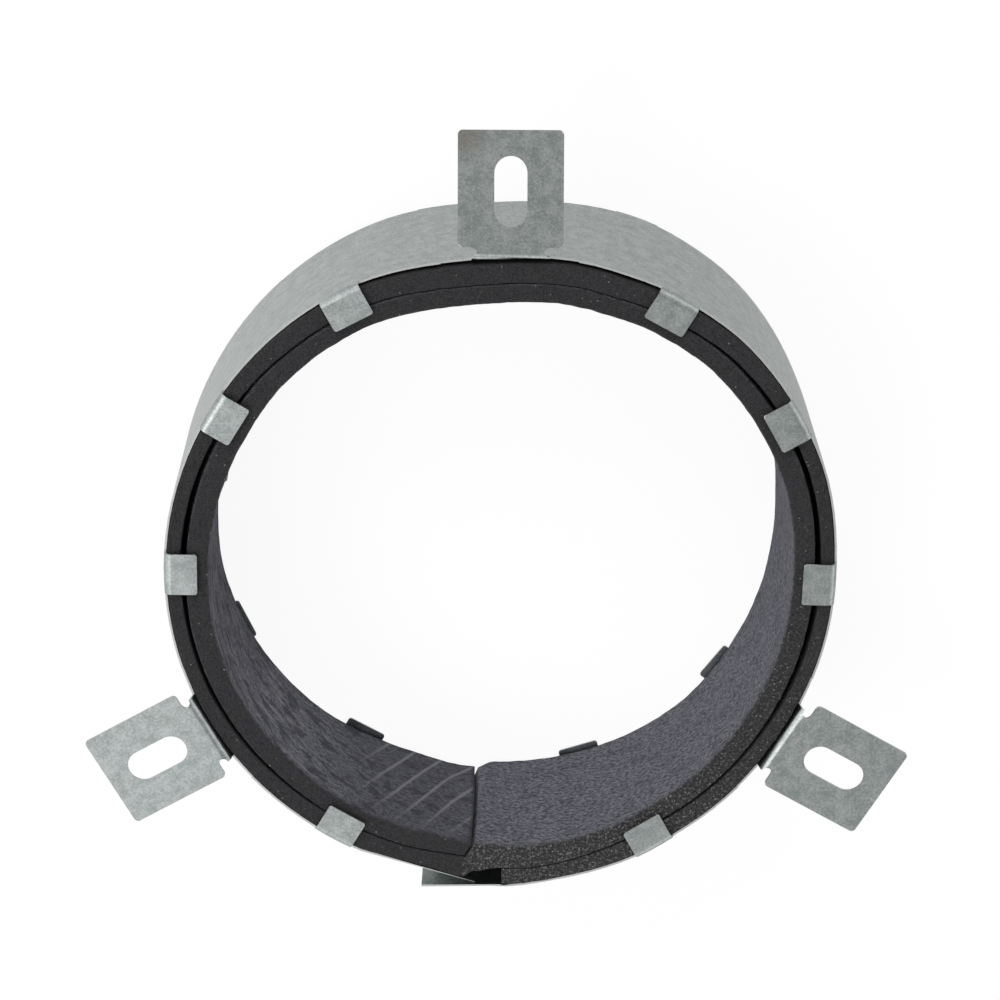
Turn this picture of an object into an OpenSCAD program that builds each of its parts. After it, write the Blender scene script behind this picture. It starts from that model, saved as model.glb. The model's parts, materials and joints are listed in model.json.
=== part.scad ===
// Pipe fire collar: a folded sheet-steel casing around an intumescent strip that is wound in two turns.
// The collar's axis is Z and its mounting face is up. The origin is the ring's centre, at half its height.

/* [Pipe] */
// Outside diameter of the pipe that the collar goes around
pipe_d = 160; // [110:1:250]
// Radial room between the pipe and the strip
pipe_room = 2.3; // [1.5:0.1:6]

/* [Intumescent strip] */
// Thickness of the strip
strip_t = 5.3; // [4:0.1:9]
// Radial gap between the strip's two turns
turn_gap = 0.6; // [0.2:0.1:1.5]
// Radial gap between the strip and the casing
casing_gap = 0.4; // [0.1:0.1:1]
// Gap between the strip and the rear tabs that it rests on
strip_rear_gap = 0.1; // [0.05:0.05:0.5]
// Gap between the strip and the front tabs
strip_front_gap = 1.1; // [0.3:0.1:3]
// Distance of the strip's outer end past the lowest point of the ring, along its outer face
strip_start = 2.8; // [1:0.1:8]
// Width of the wedge-shaped void that the strip leaves where it steps over its own outer end
void_w = 10.2; // [8:0.1:20]
// Distance that the step's inner face starts ahead of the void
step_lead = 2.1; // [1:0.1:5]
// Length of the step on the strip's inner face
step_l = 6; // [4:0.1:12]
// Gap between the strip's inner end and the step
seam_gap = 0.7; // [0.3:0.1:2]

/* [Casing] */
// Height of the collar, from the mounting face to the rear tabs' outer faces
collar_h = 60; // [40:1:90]
// Thickness of the sheet
sheet = 0.6; // [0.4:0.05:1]
// Inside radius of the folds
bend_r = 1.6; // [0.6:0.1:2]
// Depth of the wall's edge below the folds, between the tabs
edge_drop = 0.3; // [0.1:0.1:1]

/* [Retaining tabs] */
// Width of a retaining tab
tab_w = 12; // [8:0.5:16]
// Radius of a retaining tab's tip corners
tab_tip_r = 0.8; // [0.3:0.1:3]
// Length that a front tab covers of the strip, from the strip's outer face
front_tab_cover = 8.5; // [5:0.1:10]
// Number of front tabs between two mounting tabs
front_tabs_between = 3; // [2:1:4]
// Radial room between the pipe and the rear tabs' tips
rear_tab_room = 0.8; // [0.5:0.1:1.4]
// Number of rear tabs
rear_tabs = 10; // [6:1:10]
// Angle between two rear tabs
rear_tab_pitch = 34.9; // [30:0.1:34.9]
// Angle of the first rear tab past the lowest point of the ring
rear_tab_first = 17.3; // [8:0.1:25]

/* [Mounting tabs] */
// Number of mounting tabs
mounts = 3; // [3:2:5]
// Width of a mounting tab
mount_w = 28.8; // [24:0.2:36]
// Length of a mounting tab's plate, outwards
mount_l = 30.6; // [28:0.2:45]
// Radius of the plate's corners
mount_corner_r = 1.3; // [0.5:0.1:4]
// Width of the neck between the casing and the plate
neck_w = 18.6; // [14:0.1:20]
// Width of the notch between the casing and the plate, beside the neck
notch_w = 3.2; // [2:0.1:5]
// Width of the anchor slot
slot_w = 9; // [6:0.1:11]
// Length of the anchor slot from end to end
slot_l = 18.5; // [14:0.1:22]
// Distance of the slot's middle from the plate's outer edge
slot_setback = 16; // [14:0.1:17]
// Width of the casing's lowered edge at a mounting tab
relief_w = 39; // [30:0.5:42]
// Depth of the casing's lowered edge at a mounting tab
relief_d = 0.6; // [0.2:0.1:2]

/* [Lap and lock] */
// Length of the straight flap at the casing's outer end, from the ring's lowest point
flap_l = 20.8; // [16:0.1:30]
// Distance from the ring's lowest point to where the flap leaves the ring
flap_root = 5; // [3:0.5:8]
// Gap between the flap and the tip of the casing's straight inner end
lap_gap = 0.1; // [0.05:0.05:0.4]
// Distance of that tip from the ring's lowest point
tail_setback = 5.2; // [4:0.1:8]
// Slope of the straight inner end against the flap
tail_slope = 12.5; // [10:0.5:13]
// Width of the hook that locks the inner end in the flap
hook_w = 12; // [8:0.5:20]
// Length of the hook's folded leg
hook_l = 5; // [3:0.5:5.5]
// Gap around the hook in the flap's slot
hook_gap = 0.3; // [0.1:0.05:0.5]

/* [Hidden] */
$fn = 96;
STEEL = [0.66, 0.69, 0.68];
GRAPHITE = [0.19, 0.19, 0.20];

// The lap is at the ring's lowest point, and the first mounting tab is opposite it
LAP = 270;
// Length by which joined shapes run into each other, and cutters run past what they cut
overlap = 0.3;
past = 4;

// Radii from the bore outwards
pipe_r = pipe_d / 2;
bore_r = pipe_r + pipe_room;
inner_turn_r = bore_r + strip_t;
outer_turn_r = inner_turn_r + turn_gap;
strip_r = outer_turn_r + strip_t;
wall_r = strip_r + casing_gap;
casing_r = wall_r + sheet;

// Heights of the faces and of the wall's edges between the tabs
face_z = collar_h / 2;
wall_z = face_z - sheet - bend_r - edge_drop;
strip_bottom = -face_z + sheet + strip_rear_gap;
strip_top = face_z - sheet - strip_front_gap;

// The lap: a flat flap outside, and a straight tail inside whose tip lies on the flap
flap_y = -sqrt(casing_r ^ 2 - flap_root ^ 2);
tail_tip = [-tail_setback, flap_y + sheet + lap_gap];
tail_depth = -(tail_tip[0] * sin(tail_slope) + tail_tip[1] * cos(tail_slope));
crease_angle = LAP - tail_slope - acos(tail_depth / casing_r);

// Angles of the tabs
positions = mounts * (front_tabs_between + 1);
mount_angles = [for (i = [0:mounts - 1]) LAP - 180 + i * 360 / mounts];
tab_half_angle = arc_angle(tab_w / 2, casing_r);
front_angles = [
    for (i = [0:positions - 1])
        let (angle = (LAP - 180 + i * 360 / positions) % 360)
            if (i % (front_tabs_between + 1) != 0 && clear_of_lap(angle)) angle
];
rear_angles = [for (i = [0:rear_tabs - 1]) LAP + rear_tab_first + i * rear_tab_pitch];
front_tip_r = strip_r - front_tab_cover;
rear_tip_r = pipe_r + rear_tab_room;

// The mounting plate, along the radius
plate_from = casing_r + notch_w;
plate_to = plate_from + mount_l;
slot_r = plate_to - slot_setback;

// Angles of the strip's ends and of the step between its turns
start_angle = LAP + arc_angle(strip_start, strip_r);
void_angle = start_angle - arc_angle(void_w, strip_r);
step_from = void_angle - arc_angle(step_lead, strip_r);
step_to = step_from + arc_angle(step_l, bore_r);
end_angle = step_from - arc_angle(seam_gap, inner_turn_r);
step_points = 24;

function clear_of_lap(angle) = angle <= crease_angle - tab_half_angle || angle >= LAP + tab_half_angle;
function polar(r, angle) = [r * cos(angle), r * sin(angle)];
function arc_angle(length, r) = length / r * 180 / PI;
function ease(u) = u * u * (3 - 2 * u);
// Points of a smooth step from one radius and angle to another
function step_curve(r_from, angle_from, r_to, angle_to) = [
    for (i = [0:step_points])
        let (u = i / step_points)
            polar(r_from + (r_to - r_from) * ease(u), angle_from + (angle_to - angle_from) * u)
];

// The area left of x_to, between two heights, with both outer corners rounded with radius r
module rounded_section(x_from, x_to, z_from, z_to, r) {
    translate([x_from, z_from]) square([x_to - r - x_from, z_to - z_from]);
    translate([x_from, z_from + r]) square([x_to - x_from, z_to - z_from - 2 * r]);
    for (z = [z_from + r, z_to - r])
        translate([x_to - r, z]) circle(r);
}

// What lies outside the lap's two flat stretches, as far as inset inside their outer faces
module beyond_lap(inset) {
    translate(tail_tip) rotate(-tail_slope) translate([-casing_r, inset - casing_r, -collar_h])
        cube([2 * casing_r, casing_r, 2 * collar_h]);
    translate([-casing_r, flap_y + inset - casing_r, -collar_h])
        cube([2 * casing_r, casing_r, 2 * collar_h]);
}

// A ring with round edges that lies inset inside the casing's outer faces, down to radius r_from
module inset_ring(inset, r_from) {
    difference() {
        rotate_extrude()
            rounded_section(r_from, casing_r - inset, inset - face_z, face_z - inset, bend_r + sheet - inset);
        beyond_lap(inset);
    }
}

// The outline of a retaining tab from above, with round tip corners
module tab_outline(tip_r) {
    translate([tip_r + tab_tip_r, -tab_w / 2]) square([casing_r + past - tip_r - tab_tip_r, tab_w]);
    translate([tip_r, tab_tip_r - tab_w / 2]) square([tab_tip_r + overlap, tab_w - 2 * tab_tip_r]);
    for (side = [-1, 1])
        translate([tip_r + tab_tip_r, side * (tab_w / 2 - tab_tip_r)]) circle(tab_tip_r);
}

// What is cut away between the retaining tabs on the front edge
module edge_waste(angles, tip_r) {
    difference() {
        translate([0, 0, wall_z]) cylinder(h = collar_h, r = casing_r + past);
        for (angle = angles)
            rotate(angle) linear_extrude(2 * collar_h) tab_outline(tip_r);
    }
}

// The outline of a mounting tab from above: neck, plate with round corners, notches and anchor slot
module mount_outline() {
    notch_r = notch_w / 2;
    round_to = mount_w / 2 - mount_corner_r;
    slot_end = (slot_l - slot_w) / 2;
    difference() {
        union() {
            translate([wall_r - past, -neck_w / 2 - notch_r])
                square([plate_from - wall_r + past + mount_corner_r, neck_w + notch_w]);
            translate([plate_from + mount_corner_r, -mount_w / 2])
                square([mount_l - 2 * mount_corner_r, mount_w]);
            translate([plate_from, -round_to]) square([mount_l, 2 * round_to]);
            for (x = [plate_from + mount_corner_r, plate_to - mount_corner_r], y = [-round_to, round_to])
                translate([x, y]) circle(mount_corner_r);
        }
        for (side = [-1, 1])
            translate([casing_r + notch_r, side * (neck_w / 2 + notch_r)]) circle(notch_r);
        translate([slot_r - slot_end, -slot_w / 2]) square([2 * slot_end, slot_w]);
        for (end = [-1, 1])
            translate([slot_r + end * slot_end, 0]) circle(slot_w / 2);
    }
}

// The section of the sheet where it folds outwards from the wall's edge
module outward_section() {
    translate([casing_r + wall_r, 0]) mirror([1, 0]) difference() {
        rounded_section(-plate_to, casing_r, -face_z, face_z, bend_r + sheet);
        rounded_section(-plate_to - past, wall_r, sheet - face_z, face_z - sheet, bend_r);
    }
}

// The mounting tabs, folded outwards from the casing's front edge
module mounting_tabs() {
    intersection() {
        rotate_extrude() outward_section();
        for (angle = mount_angles)
            rotate(angle) translate([0, 0, wall_z - relief_d - past])
                linear_extrude(collar_h) mount_outline();
    }
}

// The ring with its retaining tabs, its lowered edges at the mounting tabs and its straight tail
module ring() {
    tip_r = rear_tip_r - past;
    difference() {
        inset_ring(0, tip_r);
        inset_ring(sheet, tip_r - past);
        edge_waste(front_angles, front_tip_r);
        mirror([0, 0, 1]) edge_waste(rear_angles, rear_tip_r);
        for (angle = mount_angles)
            rotate(angle) translate([wall_r - past, -relief_w / 2, wall_z - relief_d])
                cube([sheet + 2 * past, relief_w, past]);
        translate(tail_tip) rotate(-tail_slope) translate([0, -past, -collar_h])
            cube([tail_setback, 2 * past, 2 * collar_h]);
    }
}

// The flap outside the tail, with the hook's slot
module flap() {
    slot_x = tail_tip[0] - hook_gap;
    slot_to = tail_tip[0] + bend_r + sheet + hook_gap;
    difference() {
        translate([-flap_l, flap_y, -wall_z]) cube([flap_l + flap_root / 2, sheet, 2 * wall_z]);
        translate([slot_x, flap_y - past, -hook_w / 2 - hook_gap])
            cube([slot_to - slot_x, 2 * past, hook_w + 2 * hook_gap]);
    }
}

// A bar along -X with a round end at the origin
module round_end(length, r) {
    translate([-length, -r]) square([length, 2 * r]);
    circle(r);
}

// The hook on the tail's tip, folded through the flap's slot and back outside the flap
module hook() {
    translate(tail_tip) rotate(-tail_slope) translate([0, -bend_r, -hook_w / 2])
        linear_extrude(hook_w) difference() {
            round_end(hook_l, bend_r + sheet);
            round_end(hook_l + past, bend_r);
        }
}

module casing() {
    color(STEEL) {
        ring();
        flap();
        hook();
        mounting_tabs();
    }
}

// The strip as a full ring, with its outer edges rounded to lie in the casing's folds
module strip_ring() {
    rotate_extrude() rounded_section(bore_r, strip_r, strip_bottom, strip_top, bend_r);
}

// The gap between the strip's two turns
module turn_room() {
    gap_from = start_angle - 360 - arc_angle(overlap, strip_r);
    rotate(gap_from)
        rotate_extrude(angle = step_from - gap_from)
            translate([inner_turn_r, -collar_h]) square([turn_gap, 2 * collar_h]);
}

// The seam between the strip's inner end and the step, open to the bore
module seam_room() {
    translate([0, 0, -collar_h]) linear_extrude(2 * collar_h)
        polygon(concat(
            [polar(inner_turn_r + turn_gap / 2, end_angle)],
            step_curve(outer_turn_r, step_from, bore_r, step_to),
            [polar(bore_r - past, step_to), polar(bore_r - past, end_angle)]
        ));
}

// The void between the step, the strip's outer end and the casing's lap
module void_room() {
    translate([0, 0, -collar_h]) linear_extrude(2 * collar_h)
        polygon(concat(
            step_curve(strip_r, void_angle, inner_turn_r, start_angle),
            [polar(strip_r + past, start_angle), polar(strip_r + past, void_angle)]
        ));
}

module intumescent_strip() {
    color(GRAPHITE) difference() {
        strip_ring();
        turn_room();
        seam_room();
        void_room();
        beyond_lap(sheet + casing_gap);
    }
}

casing();
intumescent_strip();
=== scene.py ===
"""The looks of a pipe fire collar: a folded galvanised casing around a strip wound in two turns.

The collar lies on its rear end with its mounting face up, and the camera looks down on it.
Sizes are in metres and angles in degrees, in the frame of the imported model. Materials work in millimetres.
"""

import json
import math

import bmesh
import bpy
import numpy as np
from mathutils import Matrix, Vector, noise
from mathutils.bvhtree import BVHTree


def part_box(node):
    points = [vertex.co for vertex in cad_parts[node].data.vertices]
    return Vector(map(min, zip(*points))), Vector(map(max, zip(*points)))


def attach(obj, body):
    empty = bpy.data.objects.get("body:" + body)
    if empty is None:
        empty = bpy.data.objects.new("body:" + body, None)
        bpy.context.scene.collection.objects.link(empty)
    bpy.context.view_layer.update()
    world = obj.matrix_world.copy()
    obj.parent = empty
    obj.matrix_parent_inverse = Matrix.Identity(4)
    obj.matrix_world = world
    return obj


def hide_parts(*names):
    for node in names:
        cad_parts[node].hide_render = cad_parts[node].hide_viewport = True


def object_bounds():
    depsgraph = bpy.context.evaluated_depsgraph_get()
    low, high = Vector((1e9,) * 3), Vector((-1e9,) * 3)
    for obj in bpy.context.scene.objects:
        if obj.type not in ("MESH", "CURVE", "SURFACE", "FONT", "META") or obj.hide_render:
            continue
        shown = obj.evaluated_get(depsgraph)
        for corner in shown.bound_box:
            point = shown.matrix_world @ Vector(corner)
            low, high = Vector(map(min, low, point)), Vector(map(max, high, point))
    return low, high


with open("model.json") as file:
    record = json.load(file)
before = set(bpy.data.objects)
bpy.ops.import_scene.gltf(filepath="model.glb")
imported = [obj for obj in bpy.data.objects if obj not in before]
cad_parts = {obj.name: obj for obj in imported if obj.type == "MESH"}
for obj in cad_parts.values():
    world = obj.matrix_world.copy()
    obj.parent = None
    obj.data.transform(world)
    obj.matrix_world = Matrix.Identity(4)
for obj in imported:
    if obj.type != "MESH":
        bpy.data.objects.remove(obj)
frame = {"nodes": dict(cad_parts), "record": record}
cad_low, cad_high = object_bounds()

MM = 0.001
TURN = 360.0

# Camera: fitted to the ring's front and rear rims in the photo
PHOTO_PX = 1000
FOCAL_PX = 3775.1
SENSOR_W = 36.0
CAMERA_DISTANCE = 1.0605
CAMERA_TILT = 21.087
CAMERA_SWING = -0.19
RING_TURN = 1.1
RING_CENTRE_PX = (499.55, 577.51)

# The strip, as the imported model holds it
strip_low, strip_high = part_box("intumescent_strip")
STRIP_R = strip_high.x
STRIP_FRONT = strip_high.z
STRIP_REAR = strip_low.z
BORE_R = next(m["dims"]["r_mm"] for m in frame["record"]["mounts"] if m["name"] == "pipe_bore") * MM
STRIP_T = 5.3 * MM
INNER_TURN_R = BORE_R + STRIP_T
OUTER_TURN_R = STRIP_R - STRIP_T

# Where the strip starts, steps over its own end, and ends
LAP = 270.0
STRIP_START = 2.8 * MM
VOID_W = 10.2 * MM
STEP_L = 1.9 * MM
STEP_CURVE = 2.2
SEAM_GAP = 0.7 * MM
END_SLANT = 1.1
END_SLANT_SPAN = 4.0

# How the strip lies: loose at its start, pressed in and sagging at the top, sagging at the upper left
SPREAD_OUT = 0.25 * MM
LOOSE = 1.1 * MM
LOOSE_SPAN = 12.5
TOP_PRESS = 0.75 * MM
TOP_SAG = 0.8 * MM
TOP_SAG_FROM = 0.7
LEFT_SAG = 0.5 * MM
LEFT_AT = 165.0
LEFT_REACH = (0.90, 0.98)

# The groove between the turns: its radius and half width, and how they change round the ring
GROOVE_R = (INNER_TURN_R + OUTER_TURN_R) / 2
GROOVE_OUT_AT_SIDES = 1.35 * MM
GROOVE_IN_AT_TOP = 1.0 * MM
GROOVE_TOP_FROM = 0.5
GROOVE_IN_AT_LEFT = 0.2 * MM
GROOVE_LEAST_HALF = 0.08 * MM
GROOVE_SIDE_HALF = 0.62 * MM
GROOVE_RIGHT_HALF = 0.15 * MM
GROOVE_LEFT_HALF = 0.25 * MM
GROOVE_FLOOR_DEPTH = (3 * MM, 14 * MM)
GROOVE_FLOOR_GAP = 0.2 * MM
BULGE = 1.9 * MM
BULGE_SPAN = 28.0
PINCH = 0.7 * MM
PINCH_SPAN = 12.0

# Flats that the casing's lap leaves the strip: direction from the axis, and distance
LAP_FLATS = ((254.9, 92.8 * MM), (270.0, 94.6 * MM))
FLAT_FACING = 0.9

# The casing
CASING_R = STRIP_R + 1.0 * MM
SHEET = 0.6 * MM
MOUNT_HALF_W = 17.0 * MM

# Each mounting tab: direction, lean to the rear, turn in its plane, shift outwards, share of its length
MOUNTS = (
    (90.0, 13.0, 1.3, 0.4 * MM, 1.04),
    (330.0, 4.0, 0.0, 0.1 * MM, 1.02),
    (210.0, 1.0, 0.0, -0.2 * MM, 0.99),
)
PLATE_MIDDLE = 17.8 * MM
HINGE_OUT = 1.6 * MM
BEND_REACH = (0.3 * MM, 2.6 * MM)
BEND_HALF_W = 20 * MM

# The mounting tabs' folds: how far in, down, out and sideways they are made straight
FOLD_IN = 2 * MM
FOLD_DOWN = (3.4 * MM, 1.8 * MM)
FOLD_OUT = (1.6 * MM, 3.2 * MM)
FOLD_HALF_W = 12 * MM

# The lap's loose sheets: where they part, and how far the tail's tip and the flap's ends spring out
LAP_SPLIT_Y = -93.72 * MM
TAIL_ROOT_X = -38.6 * MM
TAIL_TIP_X = -5.2 * MM
FLAP_END_X = -20.8 * MM
FLAP_ROOT_X = 20.0 * MM
TAIL_SPRING = 1.2 * MM
FLAP_SPRING = 1.35 * MM
FLAP_END_SPRING = 3.0 * MM

# The real ring is pressed out of round. Its front end: direction, outward push and turn along the ring
FRONT_SHAPE = (
    (0.0, 0.3 * MM, -0.5),
    (22.0, 1.7 * MM, 0.2),
    (45.0, 1.9 * MM, 0.2),
    (60.0, 1.0 * MM, -0.3),
    (72.0, 0.0 * MM, -0.2),
    (97.0, -2.0 * MM, -0.85),
    (120.0, -0.3 * MM, -0.9),
    (150.0, -0.4 * MM, -0.45),
    (180.0, 0.0 * MM, 0.55),
    (210.0, 0.35 * MM, 0.6),
    (235.0, 0.2 * MM, 0.4),
    (255.0, 0.2 * MM, 0.0),
    (280.0, 2.0 * MM, -0.4),
    (293.0, 1.9 * MM, -0.7),
    (307.0, 0.9 * MM, -0.9),
    (335.0, 0.3 * MM, -0.65),
)

# The casing's rear end, in the same way
CASING_REAR_SHAPE = (
    (0.0, 1.0 * MM, 0.0),
    (18.0, 0.6 * MM, 0.0),
    (50.0, 3.0 * MM, 0.0),
    (60.0, 2.8 * MM, 0.0),
    (95.0, -1.5 * MM, 0.0),
    (112.0, -0.6 * MM, 0.0),
    (150.0, -0.9 * MM, 0.0),
    (172.0, -0.6 * MM, 0.0),
    (206.0, 2.4 * MM, 0.0),
    (241.0, 0.6 * MM, 0.5),
    (287.0, 0.3 * MM, 0.8),
    (322.0, 0.0 * MM, 1.2),
)

# The rear end of the strip's bore, in the same way
BORE_REAR_SHAPE = (
    (0.0, -1.75 * MM, 0.0),
    (18.0, -0.4 * MM, 0.0),
    (50.0, 2.8 * MM, 0.0),
    (60.0, 2.6 * MM, 0.0),
    (95.0, -1.6 * MM, 0.0),
    (112.0, -0.7 * MM, 0.0),
    (150.0, -0.4 * MM, 0.0),
    (180.0, 0.4 * MM, 0.0),
    (200.0, 1.1 * MM, 0.0),
    (228.0, 1.2 * MM, 0.0),
    (247.0, 0.0 * MM, 0.0),
    (270.0, -0.8 * MM, 0.0),
    (310.0, 0.2 * MM, 0.0),
    (335.0, -1.2 * MM, 0.0),
)


def smooth_step(value, start, end):
    """A smooth rise from 0 at start to 1 at end, for numbers and arrays."""
    share = np.clip((value - start) / (end - start), 0.0, 1.0)
    return share * share * (3.0 - 2.0 * share)


def fade(value, start, end):
    """A smooth fall from 1 at start to 0 at end, for numbers and arrays."""
    return 1.0 - smooth_step(value, start, end)


def arc_angle(length, radius):
    """The angle that an arc of this length spans."""
    return math.degrees(length / radius)


def shape_at(rows, direction):
    """Outward push and turn of the pressed ring in each direction, smooth between the listed ones."""
    stops = np.array(rows + ((rows[0][0] + TURN,) + rows[0][1:],))
    direction = np.mod(direction, TURN)
    after = np.clip(np.searchsorted(stops[:, 0], direction, side="right"), 1, len(stops) - 1)
    here, there = stops[after - 1], stops[after]
    share = smooth_step(direction, here[:, 0], there[:, 0])[:, None]
    pressed = here + (there - here) * share
    return pressed[:, 1], np.radians(pressed[:, 2])


def read_points(mesh):
    """The x, y and z of all the mesh's points."""
    points = np.zeros(len(mesh.vertices) * 3)
    mesh.vertices.foreach_get("co", points)
    return points.reshape(-1, 3).T


def write_points(mesh, x, y, z):
    mesh.vertices.foreach_set("co", np.stack([x, y, z], 1).ravel())


def press_ring(mesh, bore_rear_shape):
    """Moves a round piece's points to the pressed ring. A mounting tab moves as one flat plate.

    At the rear, the outside takes the casing's shape, and the bore takes the shape that is given for it.
    """
    x, y, z = read_points(mesh)
    direction = np.degrees(np.arctan2(y, x))
    for mount, *_ in MOUNTS:
        turn = math.radians(mount)
        reach = x * math.cos(turn) + y * math.sin(turn)
        beside = np.abs(y * math.cos(turn) - x * math.sin(turn))
        direction = np.where((reach > CASING_R) & (beside < MOUNT_HALF_W), mount, direction)
    forwards = (z - cad_low.z) / (cad_high.z - cad_low.z)
    front_push, front_turn = shape_at(FRONT_SHAPE, direction)
    across = np.clip((np.hypot(x, y) - BORE_R) / (STRIP_R - BORE_R), 0.0, 1.0)
    bore_push, rear_turn = shape_at(bore_rear_shape, direction)
    outer_push = shape_at(CASING_REAR_SHAPE, direction)[0]
    rear_push = bore_push + (outer_push - bore_push) * across
    push = rear_push + (front_push - rear_push) * forwards
    turn = rear_turn + (front_turn - rear_turn) * forwards
    out_x = x + push * np.cos(np.radians(direction))
    out_y = y + push * np.sin(np.radians(direction))
    turned_x = out_x * np.cos(turn) - out_y * np.sin(turn)
    turned_y = out_x * np.sin(turn) + out_y * np.cos(turn)
    write_points(mesh, turned_x, turned_y, z)


def make_camera():
    """The photo's camera: it looks down on the mounting face, from the side of the upper mounting tab."""
    tilt = math.radians(CAMERA_TILT)
    swing = math.radians(CAMERA_SWING)
    towards = Vector((math.sin(swing) * math.cos(tilt), math.sin(tilt), math.cos(swing) * math.cos(tilt)))
    side = Vector((0, 1, 0)).cross(towards).normalized()
    up = towards.cross(side)
    turn = Matrix.Rotation(math.radians(RING_TURN), 4, "Z")
    pose = Matrix((side, up, towards)).transposed().to_4x4()
    pose.translation = Vector((0, 0, cad_high.z)) + towards * CAMERA_DISTANCE
    data = bpy.data.cameras.new("camera")
    data.sensor_width = SENSOR_W
    data.lens = FOCAL_PX / PHOTO_PX * SENSOR_W
    data.shift_x = 0.5 - RING_CENTRE_PX[0] / PHOTO_PX
    data.shift_y = RING_CENTRE_PX[1] / PHOTO_PX - 0.5
    camera = bpy.data.objects.new("camera", data)
    camera.matrix_world = turn @ pose
    bpy.context.scene.collection.objects.link(camera)
    bpy.context.scene.camera = camera


class Graph:
    """Short calls for the nodes of a material or of the world."""

    def __init__(self, owner, output):
        owner.use_nodes = True
        self.owner = owner
        self.tree = owner.node_tree
        self.tree.nodes.clear()
        self.output = self.tree.nodes.new("ShaderNodeOutput" + output)

    def node(self, kind, inputs, **settings):
        made = self.tree.nodes.new("ShaderNode" + kind)
        for key, value in settings.items():
            setattr(made, key, value)
        for key, value in inputs.items():
            if isinstance(value, bpy.types.NodeSocket):
                self.tree.links.new(value, made.inputs[key])
            else:
                made.inputs[key].default_value = value
        return made

    def math(self, operation, first, second=0.0):
        return self.node("Math", {0: first, 1: second}, operation=operation).outputs[0]

    def times(self, first, second):
        return self.math("MULTIPLY", first, second)

    def stretch(self, place, scales):
        """A place, multiplied by one scale for each axis."""
        return self.node("VectorMath", {0: place, 1: scales}, operation="MULTIPLY").outputs[0]

    def rise(self, value, start, end):
        """0 below start and 1 above end, with a smooth rise between them."""
        inputs = {"Value": value, "From Min": start, "From Max": end}
        return self.node("MapRange", inputs, interpolation_type="SMOOTHSTEP").outputs[0]

    def spread(self, value, low, high):
        """A value from 0 to 1, spread over another range."""
        return self.node("MapRange", {"Value": value, "To Min": low, "To Max": high}).outputs[0]

    def mix(self, share, first, second):
        """A blend of two colours."""
        return self.node("Mix", {0: share, 6: first, 7: second}, data_type="RGBA").outputs[2]

    def blend(self, share, first, second):
        """A blend of two numbers."""
        return self.node("Mix", {0: share, 2: first, 3: second}).outputs[0]

    def noise(self, place, scale=1.0, detail=2.0, roughness=0.5):
        inputs = {"Vector": place, "Scale": scale, "Detail": detail, "Roughness": roughness}
        return self.node("TexNoise", inputs).outputs[0]

    def cells(self, place, scale):
        """Distance to the nearest cell's centre, and a random value for each cell."""
        made = self.node("TexVoronoi", {"Vector": place, "Scale": scale})
        return made.outputs[0], self.node("SeparateColor", {0: made.outputs[1]}).outputs[0]

    def attribute(self, name):
        return self.node("Attribute", {}, attribute_name=name).outputs[2]

    def place_mm(self):
        """The point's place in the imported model's frame, in millimetres."""
        return self.stretch(self.node("TexCoord", {}).outputs["Object"], (1 / MM,) * 3)

    def bump(self, height, depth, below=None):
        inputs = {"Height": height, "Distance": depth, "Strength": 1.0}
        if below is not None:
            inputs["Normal"] = below
        return self.node("Bump", inputs).outputs[0]

    def seen_directly(self):
        """1 for rays from the camera, mirrors and glass, and 0 for the rays that light the object."""
        path = self.node("LightPath", {}).outputs
        seen = self.math("MAXIMUM", path["Is Camera Ray"], path["Is Glossy Ray"])
        return self.math("MAXIMUM", seen, path["Is Transmission Ray"])

    def mirrored(self):
        """1 for rays that a mirror sends on."""
        return self.node("LightPath", {}).outputs["Is Glossy Ray"]

    def shade(self, shader):
        """Links the shader to the output, and gives back the finished material or world."""
        self.tree.links.new(shader.outputs[0], self.output.inputs[0])
        return self.owner

    def finish(self, **inputs):
        inputs = {key.replace("_", " "): value for key, value in inputs.items()}
        return self.shade(self.node("BsdfPrincipled", inputs))


def material_graph(name):
    return Graph(bpy.data.materials.new(name), "Material")


# Colours of the sheet, and the middle of a rust stain on one mounting tab
ZINC_DARK = (0.325, 0.365, 0.355, 1)
ZINC_LIGHT = (0.585, 0.620, 0.610, 1)
ZINC_CLOUD = (0.44, 0.480, 0.485, 1)
RUST = (0.30, 0.22, 0.14, 1)
RUST_AT = (-13.0, 127.0, 23.5)
# Cut edges: bare steel, painted lighter than the zinc as a highlight along the edges
EDGE_DARK = (0.56, 0.58, 0.57, 1)
EDGE_HIGHLIGHT = (0.74, 0.76, 0.75, 1)


def galvanised_sheet():
    """Zinc on steel: a fine grain, soft blotches and a rust stain."""
    g = material_graph("galvanised_sheet")
    place = g.place_mm()
    grain = g.noise(place, scale=1.5, detail=3.0, roughness=0.7)
    blotches = g.noise(place, scale=0.3, detail=3.0, roughness=0.6)
    clouds = g.noise(place, scale=0.05)
    light = g.math("ADD", g.times(grain, 0.6), g.times(blotches, 0.4))
    zinc = g.mix(g.rise(light, 0.36, 0.64), ZINC_DARK, ZINC_LIGHT)
    zinc = g.mix(g.spread(clouds, 0.0, 0.3), zinc, ZINC_CLOUD)
    from_rust = g.node("VectorMath", {0: place, 1: RUST_AT}, operation="DISTANCE").outputs["Value"]
    stain = g.times(g.rise(from_rust, 10.0, 2.0), g.times(blotches, 0.9))
    colour = g.mix(stain, zinc, RUST)
    rough = g.spread(light, 0.24, 0.36)
    normal = g.bump(g.noise(place, scale=0.03, detail=1.0), 0.2 * MM)
    normal = g.bump(grain, 0.003 * MM, normal)
    return g.finish(Base_Color=colour, Metallic=1.0, Roughness=rough, Normal=normal)


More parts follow.
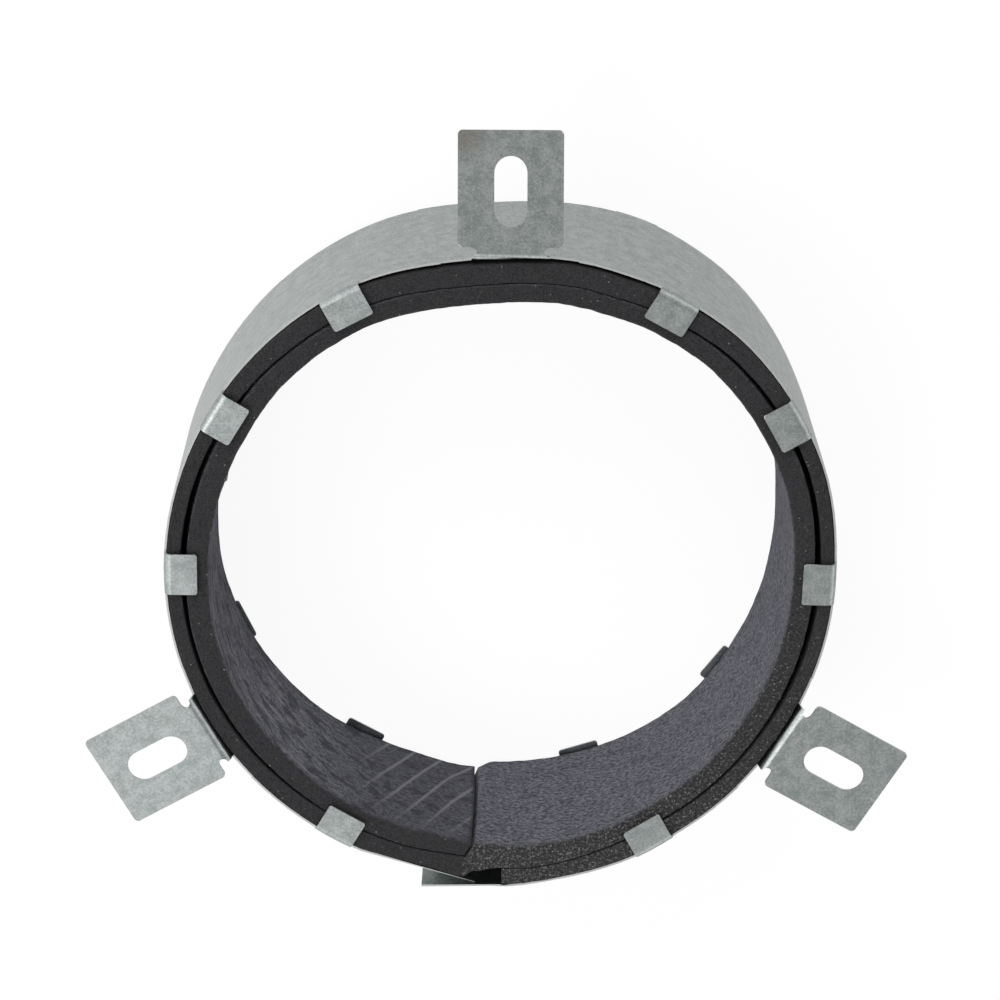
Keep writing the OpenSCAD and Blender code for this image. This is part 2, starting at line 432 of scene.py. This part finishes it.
def cut_edge():
    """The sheet's bare cut edges: bare steel, with a painted highlight that makes them lighter than the
    zinc.
    """
    g = material_graph("cut_edge")
    lines = g.noise(g.place_mm(), scale=1.5, detail=3.0)
    colour = g.mix(lines, EDGE_DARK, EDGE_HIGHLIGHT)
    return g.finish(Base_Color=colour, Metallic=1.0, Roughness=g.spread(lines, 0.34, 0.46))


# Colours of the strip's skin
SKIN_DARK = (0.042, 0.043, 0.053, 1)
SKIN_LIGHT = (0.180, 0.183, 0.213, 1)
SKIN_FIBRE = (0.225, 0.222, 0.230, 1)
SKIN_FLECK = (0.020, 0.020, 0.030, 1)
SKIN_BLOT = (0.026, 0.026, 0.036, 1)
SKIN_LAST = (0.034, 0.034, 0.044, 1)
SKIN_LINE = (0.205, 0.205, 0.228, 1)

# Colours of the strip's cut faces
BODY_DARK = (0.008, 0.008, 0.009, 1)
BODY_LIGHT = (0.036, 0.035, 0.037, 1)
BODY_CRUMB = (0.160, 0.153, 0.147, 1)
BODY_GRAIN = (0.21, 0.20, 0.19, 1)

# The skin changes along the strip: distances from its end, and the angle that it was rolled at
LATE_SKIN = (-300.0, -110.0)
LAST_SKIN = (-70.0, -20.0)
ROLLED = -22.0

# The rub lines across the skin
LINE_GAP = 8.0
LINE_W = 1.1
LINE_RISE = 2.3
LINE_PHASE = 0.56
LINED_L = 40.0
LINE_FADE = (60.0, 30.0)


def rub_lines(g, before_end, forwards):
    """Faint parallel rub lines across the skin, over the last part of the strip."""
    across = g.math("ADD", forwards, g.times(before_end, LINE_RISE))
    spaced = g.math("DIVIDE", across, LINE_GAP * math.hypot(1.0, LINE_RISE))
    spaced = g.math("FRACT", g.math("ADD", spaced, LINE_PHASE))
    from_line = g.math("ABSOLUTE", g.math("SUBTRACT", spaced, 0.5))
    half = LINE_W / LINE_GAP / 2
    line = g.rise(from_line, half * 1.5, half * 0.3)
    line = g.times(line, g.rise(before_end, -LINED_L, -0.6 * LINED_L))
    return g.times(line, g.rise(forwards, *LINE_FADE))


def felted_skin(g):
    """Colour of the skin, its felt and its dark flecks."""
    along = g.stretch(g.node("UVMap", {}, uv_map="strip").outputs[0], (1 / MM,) * 3)
    parts = g.node("SeparateXYZ", {0: along}).outputs
    before_end, forwards = parts[0], parts[1]
    late = g.rise(before_end, *LATE_SKIN)
    last = g.rise(before_end, *LAST_SKIN)
    rolled = {"Vector": along, "Angle": math.radians(ROLLED)}
    rolled = g.node("VectorRotate", rolled, rotation_type="Z_AXIS").outputs[0]
    felt = g.noise(g.stretch(rolled, (0.75, 1.1, 1.0)), detail=5.0, roughness=0.72)
    streaks = g.noise(g.stretch(along, (0.09, 0.42, 1.0)), detail=4.0, roughness=0.6)
    flecks = g.noise(g.stretch(rolled, (0.4, 0.95, 1.0)), detail=3.0, roughness=0.6)
    flecks = g.rise(flecks, 0.55, 0.66)
    blots = g.noise(g.stretch(rolled, (0.12, 0.2, 1.0)), detail=4.0, roughness=0.65)
    blots = g.rise(blots, 0.50, 0.60)
    skin = g.mix(g.rise(felt, 0.37, 0.63), SKIN_DARK, SKIN_LIGHT)
    fibres = g.times(g.rise(streaks, 0.50, 0.64), g.spread(late, 0.15, 0.75))
    fibres = g.times(fibres, g.spread(last, 1.0, 0.2))
    skin = g.mix(fibres, skin, SKIN_FIBRE)
    skin = g.mix(g.times(flecks, g.spread(late, 0.6, 0.75)), skin, SKIN_FLECK)
    skin = g.mix(g.times(blots, g.spread(late, 0.3, 0.75)), skin, SKIN_BLOT)
    skin = g.mix(g.times(last, 0.5), skin, SKIN_LAST)
    line = g.times(rub_lines(g, before_end, forwards), g.spread(felt, 0.45, 0.95))
    return g.mix(line, skin, SKIN_LINE), felt, flecks


def intumescent():
    """A graphite compound: a felted skin with flecks, and dark cut faces full of small bright grains."""
    g = material_graph("intumescent")
    place = g.place_mm()
    skin, felt, flecks = felted_skin(g)
    cut = g.attribute("cut")
    grainy = g.attribute("grains")
    fine = g.noise(place, scale=2.6, detail=3.0, roughness=0.65)
    body = g.mix(g.rise(fine, 0.25, 0.75), BODY_DARK, BODY_LIGHT)
    crumbs = g.rise(g.noise(place, scale=1.2, detail=3.0, roughness=0.65), 0.48, 0.70)
    crumbs = g.times(crumbs, g.times(grainy, 0.6))
    body = g.mix(crumbs, body, BODY_CRUMB)
    distance, chance = g.cells(place, 1.7)
    rare = g.rise(chance, g.spread(g.times(grainy, grainy), 0.99, 0.72), 1.0)
    grain = g.times(rare, g.rise(distance, 0.6, 0.05))
    grain = g.times(grain, g.rise(cut, 0.25, 0.6))
    colour = g.mix(grain, g.mix(cut, skin, body), BODY_GRAIN)
    rough = g.math("SUBTRACT", g.spread(felt, 0.85, 0.7), g.times(grain, 0.3))
    relief = g.math("SUBTRACT", felt, g.times(flecks, 0.4))
    normal = g.bump(relief, 0.35 * MM)
    normal = g.bump(fine, 0.10 * MM, normal)
    return g.finish(Base_Color=colour, Roughness=rough, Normal=normal, Specular_IOR_Level=0.2)


class Winding:
    """Angles along the strip: one turn outside, a step inwards over its own end, one turn inside."""

    start = LAP + arc_angle(STRIP_START, STRIP_R)
    void = start - arc_angle(VOID_W, STRIP_R)
    seam = void + TURN
    stepped = seam + arc_angle(STEP_L, BORE_R)
    end = seam + TURN - arc_angle(SEAM_GAP, INNER_TURN_R)


def at_top(wound, start):
    """1 at the ring's top, and 0 where the angle's sine is below start."""
    return smooth_step(np.sin(np.radians(wound)), start, 1.0)


def at_left(wound):
    """1 at the ring's upper left, and 0 away from it."""
    return smooth_step(np.cos(np.radians(wound - LEFT_AT)), *LEFT_REACH)


def groove(wound):
    """Middle and half width of the gap between the turns: wide and far out at the sides, low at the top."""
    rightwards = np.cos(np.radians(wound))
    sides = rightwards ** 2
    left = at_left(wound)
    middle = GROOVE_R + GROOVE_OUT_AT_SIDES * sides
    middle = middle - GROOVE_IN_AT_TOP * at_top(wound, GROOVE_TOP_FROM) - GROOVE_IN_AT_LEFT * left
    side_half = GROOVE_SIDE_HALF + GROOVE_RIGHT_HALF * rightwards + GROOVE_LEFT_HALF * left
    return middle, GROOVE_LEAST_HALF + side_half * sides


def strip_radii(wound):
    """Inner and outer radius of the strip at each angle of its winding."""
    stepped_in = smooth_step(wound, Winding.seam, Winding.stepped)
    climb = np.clip((wound - Winding.seam) / (Winding.start - Winding.void), 0.0, 1.0)
    stepped_out = 1.0 - (1.0 - climb) ** STEP_CURVE
    middle, half = groove(wound)
    past_start = np.where(stepped_out < 0.5, wound, wound - TURN) - Winding.start
    before_end = Winding.end - np.where(stepped_in < 0.5, wound + TURN, wound)
    middle = middle + BULGE * fade(past_start, 0.0, BULGE_SPAN)
    middle = middle - PINCH * fade(before_end, 0.0, PINCH_SPAN)
    top = at_top(wound, TOP_SAG_FROM)
    edge = STRIP_R + SPREAD_OUT - TOP_PRESS * top
    edge = edge + LOOSE * fade(wound - Winding.start, 0.0, LOOSE_SPAN)
    bore = BORE_R - TOP_SAG * top - LEFT_SAG * at_left(wound)
    inner = middle + half + (bore - middle - half) * stepped_in
    outer = edge + (middle - half - edge) * stepped_out
    for direction, distance in LAP_FLATS:
        facing = np.cos(np.radians(wound - direction))
        limit = np.where(facing > FLAT_FACING, distance / np.maximum(facing, FLAT_FACING), edge)
        outer = np.minimum(outer, np.maximum(limit, inner + STRIP_T / 2))
    return inner, outer


# The strip's mesh: radii of its corners, steps round its section, and steps along it
SHARP_CORNER = 0.5 * MM
SOFT_CORNER = 0.6 * MM
BLUNT_CORNER = 1.2 * MM
CORNER_STEPS = 4
INSIDE_STEPS = 34
FRONT_STEPS = 10
OUTSIDE_STEPS = 12
REAR_STEPS = 6
STATION = 1.2 * MM
STRIP_SHARP = 60.0


def strip_section():
    """Points round the strip's section, from the rear of its inner face and forwards.

    Each is a share of the thickness, an offset along the radius, a height, an outward direction
    (radius, height), and whether it lies on a cut face.
    """
    points = []

    def face(start, end, count, out, cut):
        """A straight run between two places, each a share of the thickness, an offset and a height."""
        for k in range(count):
            place = [here + (there - here) * k / count for here, there in zip(start, end)]
            points.append((*place, out, cut))

    def corner(share, radius, centre, angle_from, cut_from, cut_to):
        """A quarter of a circle round a centre, which is an offset and a height."""
        for k in range(CORNER_STEPS):
            u = k / CORNER_STEPS
            angle = math.radians(angle_from - 90.0 * u)
            out = (math.cos(angle), math.sin(angle))
            offset = centre[0] + radius * out[0]
            height = centre[1] + radius * out[1]
            points.append((share, offset, height, out, cut_from + (cut_to - cut_from) * u))

    sharp, soft, blunt = SHARP_CORNER, SOFT_CORNER, BLUNT_CORNER
    front, rear = STRIP_FRONT, STRIP_REAR
    face((0, 0, rear + blunt), (0, 0, front - sharp), INSIDE_STEPS, (-1, 0), 0.0)
    corner(0, sharp, (sharp, front - sharp), 180, 0.3, 1.0)
    face((0, sharp, front), (1, -soft, front), FRONT_STEPS, (0, 1), 1.0)
    corner(1, soft, (-soft, front - soft), 90, 1.0, 0.6)
    face((1, 0, front - soft), (1, 0, rear + blunt), OUTSIDE_STEPS, (1, 0), 0.6)
    corner(1, blunt, (-blunt, rear + blunt), 0, 0.2, 1.0)
    face((1, -blunt, rear), (0, blunt, rear), REAR_STEPS, (0, -1), 1.0)
    corner(0, blunt, (blunt, rear + blunt), -90, 1.0, 0.2)
    return points


# The strip's roughness: size in millimetres, height on the skin, and what a cut face adds to it
LUMPS = (6.0, 0.10 * MM, 0.06 * MM)
CRUMBS = (2.2, 0.05 * MM, 0.15 * MM)
WOBBLE = 0.2 * MM
WOBBLE_SPAN = 24.0


def rough_offset(place, cut):
    """How far the surface stands out at a place: rough on cut faces, softer on the skin."""
    total = 0.0
    for size, height, more_on_cut in (LUMPS, CRUMBS):
        total += (height + more_on_cut * cut) * noise.noise(place / MM / size)
    return total


# Beside the seam: the rear of the bore opens, its corner is cut back into a shoulder that takes the cut
# faces' darker colour, and the seam leans back
FLARE = 0.6 * MM
END_FLARE = 1.8 * MM
END_FLARE_SPAN = 14.0
FLARE_FROM = 0.2 * STRIP_FRONT
SHOULDER = 2.4 * MM
SHOULDER_H = 7 * MM
SHOULDER_SPAN = (0.5, 4.5)
SEAM_LEAN = 0.45
SEAM_LEAN_SPAN = 4.0

# Where bright grains thin out, past the strip's start and past the seam
GRAINS_PAST_START = (8.0, 110.0)
GRAINS_PAST_SEAM = (12.0, 135.0)


def rear_shoulder(angle, z):
    """1 on the rear corner beside the seam, which is cut back and takes the cut faces' darker colour, and 0
    away from it.
    """
    past_seam = angle - Winding.seam
    if past_seam < 0:
        return 0.0
    at_rim = smooth_step(-z, -STRIP_REAR - SHOULDER_H, -STRIP_REAR)
    return float(at_rim * fade(past_seam, *SHOULDER_SPAN))


def rear_flare(angle, z):
    """How far the inner turn's inner face opens outwards towards the rear: most at the strip's end."""
    if angle < Winding.seam:
        return 0.0
    reach = FLARE + END_FLARE * fade(Winding.end - angle, 0.0, END_FLARE_SPAN)
    rearwards = smooth_step(-z, -FLARE_FROM, -STRIP_REAR) ** 2
    return float(reach * rearwards + SHOULDER * rear_shoulder(angle, z))


def seam_lean(angle, z):
    """How far the seam leans back along the ring towards the front, in degrees."""
    from_seam = min(abs(angle - Winding.end), abs(angle - Winding.seam))
    return float(SEAM_LEAN * fade(from_seam, 0.0, SEAM_LEAN_SPAN) * smooth_step(z, 0.0, STRIP_FRONT))


def groove_fill(angle, z, half):
    """How far the inner turn's outer face stands out behind the front, so that the groove has a floor."""
    if angle < Winding.start + TURN:
        return 0.0
    return float((2.0 * half - GROOVE_FLOOR_GAP) * smooth_step(STRIP_FRONT - z, *GROOVE_FLOOR_DEPTH))


def grain_share(angle):
    """How many bright grains show on the cut faces: most beside the seam and at the strip's outer end."""
    past_seam = angle - Winding.seam
    near_start = fade(angle - Winding.start, *GRAINS_PAST_START)
    near_seam = fade(past_seam, *GRAINS_PAST_SEAM) if past_seam > -1 else 0.0
    return float(max(near_start, near_seam))


def strip_points(wound, section):
    """Points of the wound strip, with how much each is a cut face and how many grains it shows."""
    inner, outer = strip_radii(wound)
    halves = groove(wound)[1]
    points, cuts, grains = [], [], []
    for angle, r_in, r_out, half in zip(wound, inner, outer, halves):
        outer_turn = angle < Winding.seam
        wobble = WOBBLE * noise.noise(Vector((angle / WOBBLE_SPAN, r_in / MM, 0)))
        wobble = -abs(wobble) if outer_turn else wobble
        slant = END_SLANT * fade(Winding.end - angle, 0.0, END_SLANT_SPAN)
        for share, offset, z, out, cut in section:
            turn = math.radians(angle + slant * (1.0 - share) - seam_lean(angle, z))
            radial = Vector((math.cos(turn), math.sin(turn), 0))
            r_from = r_in + rear_flare(angle, z)
            r_to = r_out + groove_fill(angle, z, half)
            r = r_from + (r_to - r_from) * share + offset + wobble
            place = radial * r + Vector((0, 0, z))
            stand_out = rough_offset(place, cut)
            if max(out[0], -out[1]) > 0.5:
                stand_out = -abs(stand_out)
            points.append(place + (radial * out[0] + Vector((0, 0, out[1]))) * stand_out)
            cuts.append(1.0 if outer_turn else max(cut, rear_shoulder(angle, z)))
            grains.append(grain_share(angle))
    return points, cuts, grains


def strip_faces(count, around):
    """Faces between the strip's stations, and the two ends."""
    faces = []
    for i in range(count - 1):
        for k in range(around):
            near, far = i * around, (i + 1) * around
            after = (k + 1) % around
            faces.append((near + k, near + after, far + after, far + k))
    faces.append(tuple(range(around - 1, -1, -1)))
    faces.append(tuple(range((count - 1) * around, count * around)))
    return faces


def wound_strip():
    """The strip as a new mesh, with cut ends, laid out for its material and pressed as the ring is."""
    middle = (BORE_R + STRIP_R) / 2
    count = int(math.radians(Winding.end - Winding.start) * middle / STATION)
    wound = np.linspace(Winding.start, Winding.end, count)
    section = strip_section()
    around = len(section)
    points, cuts, grains = strip_points(wound, section)
    cuts[:around] = [1.0] * around
    cuts[-around:] = [1.0] * around
    mesh = bpy.data.meshes.new("wound_strip")
    mesh.from_pydata(points, [], strip_faces(count, around))
    for name, values in (("cut", cuts), ("grains", grains)):
        mesh.attributes.new(name, "FLOAT", "POINT").data.foreach_set("value", np.array(values, np.float32))
    lay_out(mesh, section, wound, middle)
    press_ring(mesh, BORE_REAR_SHAPE)
    mesh.shade_smooth()
    mesh.set_sharp_from_angle(angle=math.radians(STRIP_SHARP))
    add_piece("wound_strip", mesh, "intumescent_strip", [intumescent()])


def lay_out(mesh, section, wound, middle):
    """UVs in metres: along the strip, and round its section."""
    around = len(section)
    steps = [0.0]
    for here, after in zip(section, section[1:]):
        across = (after[0] - here[0]) * STRIP_T + after[1] - here[1]
        steps.append(steps[-1] + math.hypot(across, after[2] - here[2]))
    layer = mesh.uv_layers.new(name="strip")
    index = np.zeros(len(mesh.loops), np.int32)
    mesh.loops.foreach_get("vertex_index", index)
    along = np.radians(wound - Winding.end)[index // around] * middle
    round_section = np.array(steps)[index % around]
    layer.data.foreach_set("uv", np.stack([along, round_section], 1).astype(np.float32).ravel())


def add_piece(name, mesh, node, materials):
    """A piece that stands for a CAD node and rides on the collar."""
    piece = bpy.data.objects.new(name, mesh)
    bpy.context.scene.collection.objects.link(piece)
    mesh.materials.clear()
    for material in materials:
        mesh.materials.append(material)
    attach(piece, "root")
    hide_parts(node)
    return piece


def mount_axes(direction):
    """The outward and the sideways direction of a mounting tab."""
    turn = math.radians(direction)
    return Vector((math.cos(turn), math.sin(turn), 0)), Vector((-math.sin(turn), math.cos(turn), 0))


def straighten_folds(mesh):
    """Makes the mounting tabs' folds straight, where the ring's curve would bend them."""
    for direction, *_ in MOUNTS:
        outwards, sideways = mount_axes(direction)
        for vertex in mesh.vertices:
            reach = vertex.co.dot(outwards) - CASING_R
            beside = abs(vertex.co.dot(sideways))
            if reach > -FOLD_IN and beside < FOLD_HALF_W:
                bow = CASING_R - math.sqrt(CASING_R ** 2 - beside ** 2)
                near_fold = smooth_step(cad_high.z - vertex.co.z, *FOLD_DOWN)
                near_fold = near_fold * fade(reach, *FOLD_OUT)
                vertex.co += outwards * bow * float(near_fold)


def lean_mounts(mesh):
    """Bends each mounting tab back about its fold, and turns, shifts and draws it a little."""
    for direction, lean, twist, shift, drawn in MOUNTS:
        outwards, sideways = mount_axes(direction)
        hinge = outwards * (CASING_R + HINGE_OUT) + Vector((0, 0, cad_high.z - SHEET))
        for vertex in mesh.vertices:
            reach = vertex.co.dot(outwards) - CASING_R
            beside = abs(vertex.co.dot(sideways))
            if reach > BEND_REACH[0] and beside < BEND_HALF_W:
                share = float(smooth_step(reach, *BEND_REACH))
                bend = Matrix.Rotation(math.radians(lean) * share, 4, sideways)
                swivel = Matrix.Rotation(math.radians(twist) * share, 4, "Z")
                moved = shift + (reach - PLATE_MIDDLE) * (drawn - 1.0)
                vertex.co = hinge + swivel @ bend @ (vertex.co - hinge) + outwards * moved * share


def spring_lap(mesh):
    """Lets the lap's loose ends stand away from the ring: the flap most at its end, the tail at its tip."""
    x, y, z = read_points(mesh)
    flap = FLAP_SPRING + (FLAP_END_SPRING - FLAP_SPRING) * np.clip(x / FLAP_END_X, 0.0, 1.0)
    flap = flap * fade(x, 0.0, FLAP_ROOT_X)
    tail = TAIL_SPRING * smooth_step(x, TAIL_ROOT_X, TAIL_TIP_X)
    spring = np.where((x > TAIL_TIP_X) | (y < LAP_SPLIT_Y), flap, tail)
    spring = np.where((y < 0) & (x > TAIL_ROOT_X), spring, 0.0)
    write_points(mesh, x, y - spring, z)


# The casing's mesh: how near its points are welded, what counts as backed by sheet, and sharp folds
WELD = 0.001 * MM
JUST_INSIDE = 0.02 * MM
BACKED_WITHIN = SHEET * 1.3
SHEET_SHARP = 28.0


def mark_cut_edges(mesh):
    """Gives the second material to faces that are not backed by the sheet's other face."""
    shape = bmesh.new()
    shape.from_mesh(mesh)
    tree = BVHTree.FromBMesh(shape)
    for face in shape.faces:
        inside = face.calc_center_median() - face.normal * JUST_INSIDE
        hit = tree.ray_cast(inside, -face.normal, BACKED_WITHIN)
        face.material_index = 1 if hit[0] is None else 0
    shape.to_mesh(mesh)
    shape.free()


def folded_casing():
    """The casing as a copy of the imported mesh, bent, sprung and pressed as the real one is."""
    mesh = frame["nodes"]["casing"].data.copy()
    mesh.name = "folded_casing"
    shape = bmesh.new()
    shape.from_mesh(mesh)
    bmesh.ops.remove_doubles(shape, verts=shape.verts, dist=WELD)
    shape.to_mesh(mesh)
    shape.free()
    piece = add_piece("folded_casing", mesh, "casing", [galvanised_sheet(), cut_edge()])
    mark_cut_edges(mesh)
    straighten_folds(mesh)
    lean_mounts(mesh)
    spring_lap(mesh)
    press_ring(mesh, CASING_REAR_SHAPE)
    mesh.shade_smooth()
    mesh.set_sharp_from_angle(angle=math.radians(SHEET_SHARP))
    even = piece.modifiers.new("even_normals", "WEIGHTED_NORMAL")
    even.keep_sharp = True
    even.weight = 100


# The floor: its size, its white, and how bright mirrors show it at the left and at the right
FLOOR_SPAN = 6.0
FLOOR_WHITE = (0.9, 0.9, 0.9, 1)
FLOOR_GLOW = 0.92
MIRRORED_LEFT = 0.74
MIRRORED_RIGHT = 0.54
MIRRORED_SPAN = (-200.0, 200.0)
WHITE = (1, 1, 1, 1)


def make_floor():
    """A white floor that keeps a faint shadow."""
    half = FLOOR_SPAN / 2
    corners = [(x * half, y * half, cad_low.z) for x, y in ((-1, -1), (1, -1), (1, 1), (-1, 1))]
    mesh = bpy.data.meshes.new("floor")
    mesh.from_pydata(corners, [], [(0, 1, 2, 3)])
    floor = bpy.data.objects.new("floor", mesh)
    bpy.context.scene.collection.objects.link(floor)
    g = material_graph("floor")
    across = g.node("SeparateXYZ", {0: g.place_mm()}).outputs[0]
    in_mirrors = g.blend(g.rise(across, *MIRRORED_SPAN), MIRRORED_LEFT, MIRRORED_RIGHT)
    strength = g.blend(g.mirrored(), 1.0, in_mirrors)
    glow = g.node("Emission", {"Color": WHITE, "Strength": strength}).outputs[0]
    matt = g.node("BsdfDiffuse", {"Color": FLOOR_WHITE}).outputs[0]
    share = g.times(g.seen_directly(), FLOOR_GLOW)
    mesh.materials.append(g.shade(g.node("MixShader", {0: share, 1: matt, 2: glow})))


# The world: plain light, and what the metal mirrors of a darker ceiling and a window at the upper left
WORLD_LIGHT = 0.68
DARK_TOWARDS = (0.25, 0.0, 0.97)
DARK_SHARE = 0.42
DARK_REACH = (0.55, 1.0)
WINDOW_TOWARDS = (-0.62, 0.10, 0.78)
WINDOW_LIGHT = 0.9
WINDOW_REACH = (0.90, 0.98)


def make_world():
    """White to the camera and plain light on the object. Metal mirrors the ceiling and the window."""
    world = bpy.data.worlds.new("studio")
    bpy.context.scene.world = world
    g = Graph(world, "World")
    direction = g.node("TexCoord", {}).outputs["Generated"]

    def patch(centre, reach, outside, inside):
        towards = g.node("VectorMath", {0: direction, 1: centre}, operation="DOT_PRODUCT").outputs["Value"]
        return g.spread(g.rise(towards, *reach), outside, inside)

    ceiling = patch(DARK_TOWARDS, DARK_REACH, 1.0, DARK_SHARE)
    window = patch(WINDOW_TOWARDS, WINDOW_REACH, 0.0, WINDOW_LIGHT)
    white = g.blend(g.mirrored(), 1.0, g.math("ADD", ceiling, window))
    strength = g.blend(g.seen_directly(), WORLD_LIGHT, white)
    g.shade(g.node("Background", {"Color": WHITE, "Strength": strength}))


# Lamps that face the collar: name, place, size, power, and whether the metal mirrors it
LAMPS = (
    ("key", (-0.4, 2.6, 1.8), 1.6, 48.0, False),
    ("front", (-0.7, -0.3, 1.3), 0.9, 11.0, False),
    ("sheen", (-0.40, -0.36, 1.0), 0.8, 0.65, True),
)


def make_lights():
    for name, place, size, power, mirrored in LAMPS:
        data = bpy.data.lights.new(name, "AREA")
        data.shape = "DISK"
        data.size = size
        data.energy = power
        lamp = bpy.data.objects.new(name, data)
        lamp.location = place
        lamp.rotation_euler = Vector(place).to_track_quat("Z", "Y").to_euler()
        lamp.visible_glossy = mirrored
        bpy.context.scene.collection.objects.link(lamp)


make_camera()
make_floor()
make_world()
make_lights()
folded_casing()
wound_strip()

bpy.context.scene.view_settings.view_transform = "Standard"
